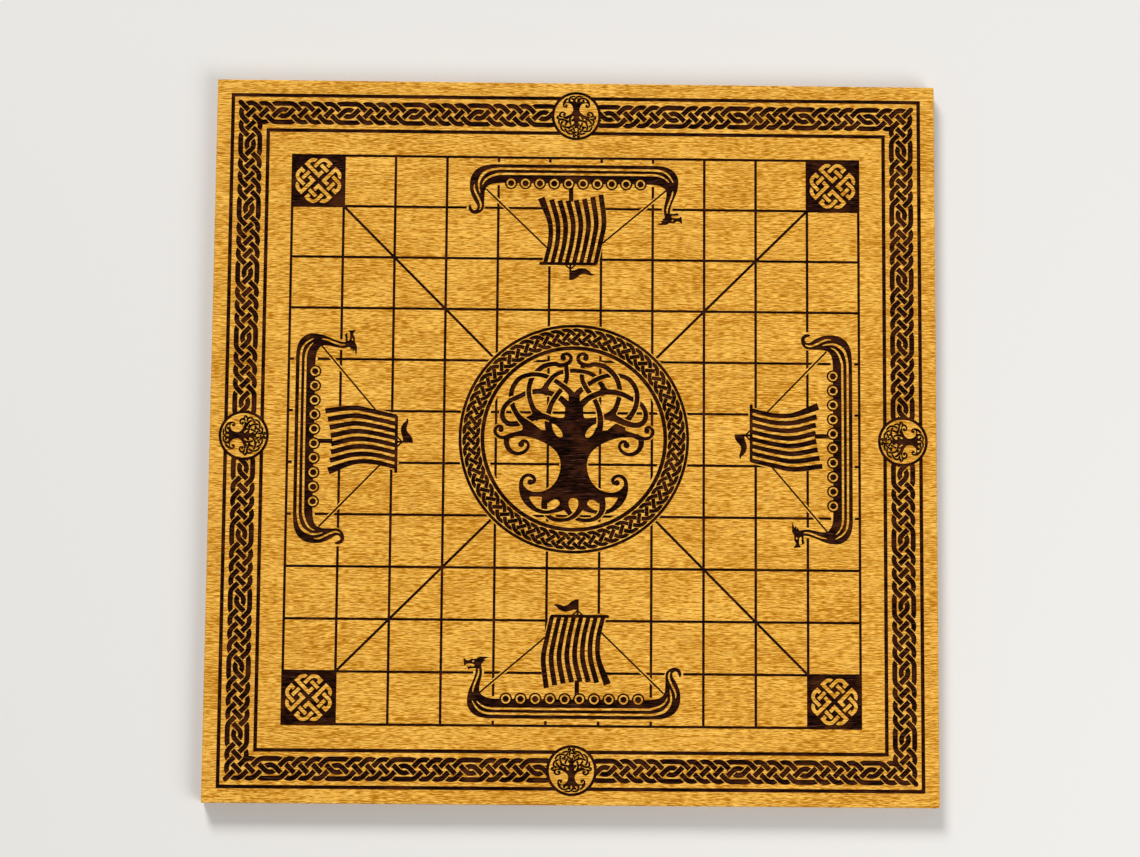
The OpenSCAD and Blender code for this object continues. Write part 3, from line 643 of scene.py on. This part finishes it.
def knotLoop():
    half = knot["strand"] / 2
    near = knot["cross"] / 2 + half
    woven = near + knot["weave"]
    far = woven + knot["rise"]
    clear = half + knot["gap"]
    bend = knot["round"]
    lift = max(0.0, clear - knot["rise"] + bend)
    outer, inner = bend + half, bend - half
    top = (woven - bend, far - bend)
    side = (far - bend, woven - bend)
    steps = knot["steps"]
    first = (arcPoints(top, outer, math.degrees(math.asin(lift / outer)), 90, steps)
             + [(near - half, far + half), (near - half, near - half), (woven - clear, near - half),
                (woven - clear, near + half), (near + half, near + half), (near + half, far - half)]
             + arcPoints(top, inner, 90, math.degrees(math.asin(lift / inner)), steps))
    second = ([(near + clear, woven + half)] + arcPoints(side, outer, 90, 0, steps)
              + [(far + half, near - half), (woven + clear, near - half),
                 (woven + clear, near + half), (far - half, near + half)]
              + arcPoints(side, inner, 0, 90, steps) + [(near + clear, woven - half)])
    third = boxCorners(woven - half, near - half - knot["cross"] / 2, woven + half, woven - clear)
    turn = math.sqrt(0.5)
    return [[(turn * (x - y), turn * (x + y)) for x, y in polygon] for polygon in (first, second, third)]


def drawKnots():
    corner = fieldHalf - field["square"] / 2
    half = (field["square"] + field["line"]) / 2
    loop = knotLoop()
    for turn in quarterTurns:
        spot = Placer(turn=turn, shift=(corner, corner))
        spot.shape(boxCorners(-half, -half, half, half), yields=("knot",))
        for c, s in ((1, 0), (0, 1), (-1, 0), (0, -1)):  # the four loops of a knot
            for polygon in loop:
                spot.shape([(c * x - s * y, s * x + c * y) for x, y in polygon], zone="knot")
    print("corner knots drawn:", len(outlines), "outlines")


def drawField():
    w = field["line"] / 2
    unit = boxCorners(-w, -fieldHalf - w, w, fieldHalf + w)
    lines, ways = field["squares"] + 1, 2  # upright, then level
    left = (-fieldHalf, 0.0, 0.0)
    for polygon in repeated([unit], count=lines, pitch=field["square"], start=left, turns=ways):
        addOutline(polygon, yields=("ground", "ringBand"))
    start = ring["outer"] + ring["groundOutside"]
    end = (fieldHalf - field["square"]) * rootTwo
    for turn in quarterTurns:  # the diagonals
        Placer(turn=turn + 45).shape(boxCorners(start, -w, end, w))
    print("field drawn:", len(outlines), "outlines")


# Face: the outlines cut into one closed piece
groove = {
    "depth": 0.7,
    "slope": 0.24,  # narrow slope along the top of every groove
    "slopeDepth": 0.3,
    "sharpest": 1.2,  # keeps the slope short in sharp corners
    "floorKept": 0.6,  # share of a floor triangle that the slopes leave
    "shrink": 0.6,  # of a slope that takes more
    "passes": 8,
    "slack": 0.008,  # a rim point this near a straight line is left out
}


def insideOutline(points, spots):  # which spots lie in a closed outline
    x, y = spots[:, 0], spots[:, 1]
    inside = np.zeros(len(spots), bool)
    for (ax, ay), (bx, by) in zip(points, points[1:] + points[:1]):
        if ay != by:
            inside ^= ((ay > y) != (by > y)) & (x < (bx - ax) * (y - ay) / (by - ay) + ax)
    return inside


def engravedSpots(spots):  # which spots are cut away
    order = np.argsort(spots[:, 0])
    sortedX = spots[order, 0]
    hits = []
    for outline in outlines:
        box = np.array(outline["points"])
        low, high = box.min(axis=0), box.max(axis=0)
        near = order[np.searchsorted(sortedX, low[0]):np.searchsorted(sortedX, high[0])]
        near = near[(spots[near, 1] >= low[1]) & (spots[near, 1] <= high[1])]
        hits.append(near[insideOutline(outline["points"], spots[near])])
    zones = {name: np.zeros(len(spots), bool) for name in {o["zone"] for o in outlines} - {None}}
    for outline, hit in zip(outlines, hits):
        if outline["zone"]:
            zones[outline["zone"]][hit] = True
    zones["ringBand"] = zones["ringGround"] & ~zones["insideRing"]
    cut = np.zeros(len(spots), bool)
    for outline, hit in zip(outlines, hits):
        if not outline["zone"]:
            for name in outline["yields"]:
                hit = hit[~zones[name][hit]]
            cut[hit] = True
    return cut


def triangulated(points, edges):  # spots and counter-clockwise triangles
    places = [Vector(p) for p in points]
    insideOnly = 1
    flat, _, triangles, _, _, _ = delaunay_2d_cdt(places, sorted(edges), [], insideOnly, tiny, False)
    spots = np.array([(v.x, v.y) for v in flat])
    corners = np.array([list(t) for t in triangles])
    wrong = doubleArea(spots, corners) < 0
    corners[wrong] = corners[wrong][:, [0, 2, 1]]
    return spots, corners


def doubleArea(spots, corners):
    a, b, c = (spots[corners[:, i]] for i in range(3))
    return (b[:, 0] - a[:, 0]) * (c[:, 1] - a[:, 1]) - (b[:, 1] - a[:, 1]) * (c[:, 0] - a[:, 0])


def rimsOf(corners, cut, count):  # edges of grooves, with the bare wood on their left
    bare, low = corners[~cut], corners[cut]
    ahead = np.concatenate([bare[:, i] * count + bare[:, (i + 1) % 3] for i in range(3)])
    back = np.concatenate([low[:, (i + 1) % 3] * count + low[:, i] for i in range(3)])
    rims = np.intersect1d(ahead, back)
    return np.stack([rims // count, rims % count], axis=1)


def withoutStraightPoints(spots, rims):
    after, before, many = {}, {}, set()
    for p, q in rims.tolist():
        if p in after or q in before:
            many.update((p, q))
        after[p], before[q] = q, p
    kept = {tuple(edge) for edge in rims.tolist()}
    for _ in range(2):
        rested = set()
        for spot in list(after):
            if spot in many or spot in rested or spot not in before or spot not in after:
                continue
            p, q = before[spot], after[spot]
            if p in many or q in many or p == q or (p, spot) not in kept or (spot, q) not in kept:
                continue
            run = spots[q] - spots[p]
            side = spots[spot] - spots[p]
            long = math.hypot(*run)
            if long < tiny or not 0 < run @ side < long * long:
                continue
            if abs(run[0] * side[1] - run[1] * side[0]) / long < groove["slack"]:
                kept -= {(p, spot), (spot, q)}
                kept.add((p, q))
                after[p], before[q] = q, p
                del after[spot], before[spot]
                rested.add(q)
    return kept


def slopeShift(spots, floor, rims):  # how far the foot of the slope stands inside each rim point
    shift = np.zeros_like(spots)
    degree = np.zeros(len(spots), int)
    run = spots[rims[:, 1]] - spots[rims[:, 0]]
    normal = np.stack([run[:, 1], -run[:, 0]], axis=1) / np.linalg.norm(run, axis=1)[:, None]
    for end in (0, 1):
        np.add.at(shift, rims[:, end], normal)
        np.add.at(degree, rims[:, end], 1)
    square = (shift ** 2).sum(axis=1)
    shift *= (groove["slope"] * 2 / np.maximum(square, groove["sharpest"]))[:, None]
    shift[degree != 2] = 0
    area = doubleArea(spots, floor)
    for _ in range(groove["passes"]):
        tight = floor[doubleArea(spots + shift, floor) < groove["floorKept"] * area]
        if not len(tight):
            break
        shift[np.unique(tight)] *= groove["shrink"]
    shift[np.unique(floor[doubleArea(spots + shift, floor) <= 0])] = 0
    return shift


def cutFace(frameCorners):  # triangles of the face, and which of them lie in a groove
    places, edges = {}, set()
    for loop in [frameCorners] + [outline["points"] for outline in outlines]:
        rounded = [(round(x, placeDigits), round(y, placeDigits)) for x, y in loop]
        marks = [places.setdefault(place, len(places)) for place in rounded]
        edges.update((min(a, b), max(a, b)) for a, b in zip(marks, marks[1:] + marks[:1]) if a != b)
    spots, corners = triangulated(places, edges)
    rims = rimsOf(corners, engravedSpots(spots[corners].mean(axis=1)), len(spots))
    places = {c: i for i, c in enumerate(frameCorners)}
    edges = {(0, 1), (1, 2), (2, 3), (0, 3)}
    for edge in sorted(withoutStraightPoints(spots, rims)):
        marks = [places.setdefault(tuple(spots[i]), len(places)) for i in edge]
        edges.add((min(marks), max(marks)))
    spots, corners = triangulated(places, edges)
    return spots, corners, engravedSpots(spots[corners].mean(axis=1))


def engraveFace():
    top, ease = panel["thickness"], panel["easedEdge"]
    half = panel["side"] / 2 - ease
    frameCorners = boxCorners(-half, -half, half, half)
    spots, corners, cut = cutFace(frameCorners)
    print("face cut into", len(corners), "triangles,", int(cut.sum()), "of them low")
    rims = rimsOf(corners, cut, len(spots))
    inside = spots + slopeShift(spots, corners[cut], rims)
    levels = {
        "top": (spots, top),
        "foot": (inside, top - groove["slopeDepth"]),
        "low": (inside, top - groove["depth"]),
    }
    known = {level: {} for level in levels}
    woods = [faceWood, burntWood, toastedWood]
    verts, faces, slots = [], [], []

    def spotAt(i, level):
        if i not in known[level]:
            place, z = levels[level]
            known[level][i] = len(verts)
            verts.append((place[i, 0] * mm, place[i, 1] * mm, z * mm))
        return known[level][i]

    def addFace(loop, wood):
        faces.append(loop)
        slots.append(woods.index(wood))

    for triangle, isCut in zip(corners.tolist(), cut):
        level, wood = ("low", burntWood) if isCut else ("top", faceWood)
        addFace([spotAt(i, level) for i in triangle], wood)
    for rim in rims.tolist():
        high, foot, low = ([spotAt(i, level) for i in rim] for level in levels)
        for upper, lower, wood in ((high, foot, toastedWood), (foot, low, burntWood)):
            addFace([upper[0], lower[0], lower[1], upper[1]], wood)
    nearest = [int(np.argmin(np.hypot(*(spots - c).T))) for c in frameCorners]
    rings = [[known["top"][i] for i in nearest]]
    turns = [math.pi / 2 * k / panel["easeSteps"] for k in range(1, panel["easeSteps"] + 1)]
    edges = [(half + ease * math.sin(t), top - ease * (1 - math.cos(t))) for t in turns]
    edges.append((half + ease, top - panel["faceVeneer"]))
    for out, z in edges:
        rings.append(list(range(len(verts), len(verts) + len(frameCorners))))
        for x, y in frameCorners:
            verts.append((math.copysign(out, x) * mm, math.copysign(out, y) * mm, z * mm))
    for upper, lower in zip(rings, rings[1:]):
        for i in range(len(upper)):
            j = (i + 1) % len(upper)
            addFace([upper[i], lower[i], lower[j], upper[j]], faceWood)
    addFace(list(reversed(rings[-1])), faceWood)
    piece = meshObject("engraved_face", verts, faces)
    for wood in woods:
        piece.data.materials.append(wood)
    piece.data.polygons.foreach_set("material_index", slots)
    piece.data.update()
    print("engraved face:", sum(len(f) - 2 for f in faces), "triangles,", len(rims), "rim edges")
    return piece


# Materials
grain = {  # a noise has its detail, its roughness and its repeats in a metre along, across and through
    "streak": (3.0, 0.6, (20, 1000, 1000)),
    "fleck": (2.0, 0.55, (90, 1900, 1900)),
    "speck": (1.0, 0.5, (230, 2500, 2500)),
    "broad": (2.0, 0.5, (26, 60, 60)),
    "wander": (1.0, 0.5, (16, 26, 26)),
    "patches": (2.0, 0.6, (70, 110, 110)),
    "wanderReach": 0.009,
    "middle": 0.5,  # of every noise
    "tone": {"streak": 0.8, "fleck": 1.3, "speck": 1.9, "broad": 0.36},
    "middleTone": 0.55,
    # the pale range below paints sheen: the palest grain tone is mixed towards a whitish colour, as a
    # highlight would make it
    "paleSheenRange": (0.75, 1.15),
    "spots": {"fleck": 0.65, "speck": 0.35},
    "spotsRange": (0.575, 0.66),
    # the patches range below places a red-brown tint on burnt wood, partly the burn's own colour and partly
    # painted sheen
    "patchesRange": (0.5, 0.7),
    "height": {"streak": 0.4, "speck": 0.35},
    "spotDepth": -0.5,
    "gloss": {"streak": 0.16, "speck": 0.12},
}


def noiseNode(tree, vector, detail, rough, repeats):
    place = addNode(tree, "ShaderNodeMapping", {"Vector": vector, "Scale": repeats})
    inputs = {"Vector": place.outputs[0], "Scale": 1.0, "Detail": detail, "Roughness": rough}
    return addNode(tree, "ShaderNodeTexNoise", inputs).outputs[0]


def rampNode(tree, value, low, high):
    inputs = {"Value": value, "From Min": low, "From Max": high}
    return addNode(tree, "ShaderNodeMapRange", inputs).outputs[0]


def mixNode(tree, factor, a, b):
    node = tree.nodes.new("ShaderNodeMix")
    node.data_type = "RGBA"
    for source, slot in ((factor, 0), (a, 6), (b, 7)):  # the colour sockets
        link(tree, source, node.inputs[slot])
    return node.outputs[2]


def woodGrainGroup():  # streaks, short flecks and broad tone on coordinates whose X runs along the grain
    tree = bpy.data.node_groups.new("woodGrain", "ShaderNodeTree")
    kinds = {"Color": ("Light", "Dark", "Fleck", "Tint And Sheen", "Pale Sheen"),
             "Float": ("Fleck Amount", "Tint And Sheen Amount", "Pale Sheen Amount", "Contrast"),
             "Vector": ("Vector",)}
    for kind, names in kinds.items():
        for name in names:
            tree.interface.new_socket(name, in_out="INPUT", socket_type="NodeSocket" + kind)
    for name, kind in (("Color", "Color"), ("Height", "Float"), ("Gloss", "Float")):
        tree.interface.new_socket(name, in_out="OUTPUT", socket_type="NodeSocket" + kind)
    given = tree.nodes.new("NodeGroupInput").outputs
    out = tree.nodes.new("NodeGroupOutput").inputs

    def times(a, b):
        return mathNode(tree, "MULTIPLY", a, b)

    def plus(a, b):
        return mathNode(tree, "ADD", a, b)

    def blend(weights):  # sum of the noises, each times its weight
        total = 0.0
        for name, weight in weights.items():
            total = plus(times(noises[name], weight), total)
        return total

    split = addNode(tree, "ShaderNodeSeparateXYZ", {"Vector": given["Vector"]}).outputs
    slow = plus(noiseNode(tree, given["Vector"], *grain["wander"]), -grain["middle"])
    waved = vectorOf(tree, split[0], plus(split[1], times(slow, grain["wanderReach"])), split[2])
    noises = {name: noiseNode(tree, waved, *grain[name]) for name in grain["tone"]}
    mixed = plus(blend(grain["tone"]), -grain["middle"] * sum(grain["tone"].values()))
    tone = plus(times(mixed, given["Contrast"]), grain["middleTone"])
    # painted sheen: the palest grain is mixed towards a whitish colour, as a highlight would make it
    paleSheen = times(rampNode(tree, tone, *grain["paleSheenRange"]), given["Pale Sheen Amount"])
    spots = times(rampNode(tree, blend(grain["spots"]), *grain["spotsRange"]), given["Fleck Amount"])
    # broad red-brown patches on burnt wood: partly the burn's own colour, partly painted sheen where strands
    # would catch the light
    patches = noiseNode(tree, given["Vector"], *grain["patches"])
    tintAndSheen = times(rampNode(tree, patches, *grain["patchesRange"]), given["Tint And Sheen Amount"])
    color = mixNode(tree, rampNode(tree, tone, 0.0, 1.0), given["Dark"], given["Light"])
    for amount, name in ((paleSheen, "Pale Sheen"), (spots, "Fleck"), (tintAndSheen, "Tint And Sheen")):
        color = mixNode(tree, amount, color, given[name])
    link(tree, color, out["Color"])
    link(tree, plus(blend(grain["height"]), times(spots, grain["spotDepth"])), out["Height"])
    link(tree, blend(grain["gloss"]), out["Gloss"])
    return tree


woodGrain = woodGrainGroup()

finishes = {  # inputs of the grain group, with linear colours, and of the shader
    "face": {
        "Light": (0.95, 0.49, 0.06, 1), "Dark": (0.43, 0.155, 0.002, 1), "Contrast": 2.75,
        "Fleck": (0.22, 0.06, 0.002, 1), "Fleck Amount": 0.75,
        # the pale colour is painted sheen, a whitish highlight on the palest grain
        "Pale Sheen": (1.0, 0.66, 0.17, 1), "Pale Sheen Amount": 0.42, "rough": 0.55, "bump": 0.12, "specular": 0.08,
    },
    "burnt": {
        "Light": (0.026, 0.0065, 0.0028, 1), "Dark": (0.002, 0.0006, 0.0003, 1), "Contrast": 2.4,
        "Fleck": (0.15, 0.055, 0.03, 1), "Fleck Amount": 0.5,
        # the bloom colour is a red-brown tint, partly the burn's own colour and partly painted sheen
        "Tint And Sheen": (0.14, 0.036, 0.01, 1), "Tint And Sheen Amount": 0.35, "rough": 0.75, "bump": 0.4, "specular": 0.03,
    },
    "toasted": {
        "Light": (0.13, 0.036, 0.008, 1), "Dark": (0.05, 0.013, 0.003, 1), "Contrast": 2.0,
        "Fleck": (0.02, 0.005, 0.002, 1), "Fleck Amount": 0.4, "rough": 0.7, "bump": 0.2, "specular": 0.05,
    },
    "longPly": {
        "Light": (0.66, 0.42, 0.17, 1), "Dark": (0.46, 0.26, 0.085, 1), "Contrast": 1.4,
        "Fleck": (0.25, 0.11, 0.03, 1), "Fleck Amount": 0.5, "rough": 0.5, "bump": 0.25, "specular": 0.2,
    },
    "crossPly": {
        "Light": (0.45, 0.25, 0.085, 1), "Dark": (0.29, 0.14, 0.04, 1), "Contrast": 1.4,
        "Fleck": (0.14, 0.06, 0.018, 1), "Fleck Amount": 0.55, "rough": 0.6, "bump": 0.35, "specular": 0.2,
    },
    "back": {
        "Light": (0.80, 0.46, 0.12, 1), "Dark": (0.48, 0.23, 0.035, 1), "Contrast": 1.4,
        "Fleck": (0.28, 0.1, 0.015, 1), "Fleck Amount": 0.5, "rough": 0.45, "bump": 0.15, "specular": 0.2,
    },
}
glue = {"color": (0.09, 0.035, 0.012, 1), "amount": 0.75, "range": (0.1, 0.03)}  # range in shares of a ply
bumpDepth = 0.0002
sideShift = 0.37  # share of a pattern's shift that goes across the grain


def withGlueLines(tree, place, color):  # darkens a colour where two plies meet
    height = addNode(tree, "ShaderNodeSeparateXYZ", {"Vector": place}).outputs[2]
    above = mathNode(tree, "SUBTRACT", height, panel["faceVeneer"] * mm)
    layer = mathNode(tree, "DIVIDE", above, panel["innerPly"] * mm)
    edge = rampNode(tree, mathNode(tree, "PINGPONG", layer, 0.5), *glue["range"])
    return mixNode(tree, mathNode(tree, "MULTIPLY", edge, glue["amount"]), color, glue["color"])


def woodMaterial(material, finish, acrossY=False, shift=0.0, glueLines=False):
    material.use_nodes = True
    tree = material.node_tree
    tree.nodes.clear()
    place = tree.nodes.new("ShaderNodeTexCoord").outputs["Object"]
    turned = addNode(tree, "ShaderNodeMapping", {
        "Vector": place,
        "Location": (shift, shift * sideShift, 0),
        "Rotation": (0, 0, math.pi / 2 if acrossY else 0),
    })
    wood = tree.nodes.new("ShaderNodeGroup")
    wood.node_tree = woodGrain
    link(tree, turned.outputs[0], wood.inputs["Vector"])
    for name, value in finish.items():
        if name in wood.inputs:
            link(tree, value, wood.inputs[name])
    color = wood.outputs["Color"]
    if glueLines:
        color = withGlueLines(tree, place, color)
    bump = addNode(tree, "ShaderNodeBump", {
        "Strength": finish["bump"], "Distance": bumpDepth, "Height": wood.outputs["Height"],
    })
    shader = addNode(tree, "ShaderNodeBsdfPrincipled", {
        "Base Color": color,
        "Roughness": mathNode(tree, "ADD", wood.outputs["Gloss"], finish["rough"]),
        "Specular IOR Level": finish["specular"],
        "Normal": bump.outputs[0],
    })
    addNode(tree, "ShaderNodeOutputMaterial", {"Surface": shader.outputs[0]})
    return material


burntShift = 0.31  # metres, so that burnt wood has streaks of its own
woodMaterial(faceWood, finishes["face"])
woodMaterial(burntWood, finishes["burnt"], shift=burntShift)
woodMaterial(toastedWood, finishes["toasted"], shift=burntShift)

drawBorder()
drawRing()
drawTree(Placer(**middleTree))
print("tree drawn:", len(outlines), "outlines")
drawShips()
drawKnots()
drawField()
engravedFace = engraveFace()
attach(engravedFace, "root")
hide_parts("face_veneer")

plies = {  # finish, whether the grain runs across, and shift of the pattern in metres
    "upper_crossband": ("crossPly", True, 0.11), "upper_long_ply": ("longPly", False, 0.23),
    "upper_core_crossband": ("crossPly", True, 0.37), "core_ply": ("longPly", False, 0.41),
    "lower_core_crossband": ("crossPly", True, 0.59), "lower_long_ply": ("longPly", False, 0.67),
    "lower_crossband": ("crossPly", True, 0.71), "back_veneer": ("back", False, 0.83),
}
for node, (finish, acrossY, shift) in plies.items():
    paint = bpy.data.materials.new(node + "_wood")
    woodMaterial(paint, finishes[finish], acrossY, shift, node != "back_veneer")
    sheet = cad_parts[node]
    sheet.data.materials.clear()
    sheet.data.materials.append(paint)
print("plies finished:", len(plies))

# Floor, light and camera
studio = {
    "floor": (0.78, 0.765, 0.74, 1), "floorHalf": 6.0, "floorDrop": 0.0003, "floorRough": 0.9,
    "world": 0.31,
    "key": {"place": (-1.6, 4.3, 3.85), "size": 2.0, "power": 262.0},
    "fill": {"place": (1.1, -0.9, 1.5), "size": 1.4, "power": 19.0},
}
far = studio["floorHalf"]
floorCorners = [(x, y, -studio["floorDrop"]) for x, y in boxCorners(-far, -far, far, far)]
floor = meshObject("floor", floorCorners, [[0, 1, 2, 3]])
floorPaint = bpy.data.materials.new("pale_floor")
floorPaint.use_nodes = True
floorShader = floorPaint.node_tree.nodes["Principled BSDF"]
floorShader.inputs["Base Color"].default_value = studio["floor"]
floorShader.inputs["Roughness"].default_value = studio["floorRough"]
floor.data.materials.append(floorPaint)


def areaLight(name, place, size, power):
    data = bpy.data.lights.new(name, "AREA")
    data.shape = "DISK"
    data.size = size
    data.energy = power
    lamp = newObject(name, data)
    lamp.location = place
    lamp.rotation_euler = (-Vector(place)).to_track_quat("-Z", "Y").to_euler()


areaLight("key_light", **studio["key"])
areaLight("fill_light", **studio["fill"])
world = bpy.data.worlds.new("studio")
bpy.context.scene.world = world
world.use_nodes = True
background = world.node_tree.nodes["Background"]
background.inputs[0].default_value = (1, 1, 1, 1)
background.inputs[1].default_value = studio["world"]

lens = {
    "focal": 88.42, "sensor": 36.0,
    "place": (-0.02801, -0.18659, 1.54029),
    "turn": (0.124931, -0.017858, 0.007722),
}
cameraData = bpy.data.cameras.new("camera")
cameraData.sensor_width = lens["sensor"]
cameraData.lens = lens["focal"]
camera = newObject("camera", cameraData)
camera.location = lens["place"]
camera.rotation_euler = lens["turn"]
bpy.context.scene.camera = camera
bpy.context.scene.view_settings.view_transform = "Standard"
print("studio ready")
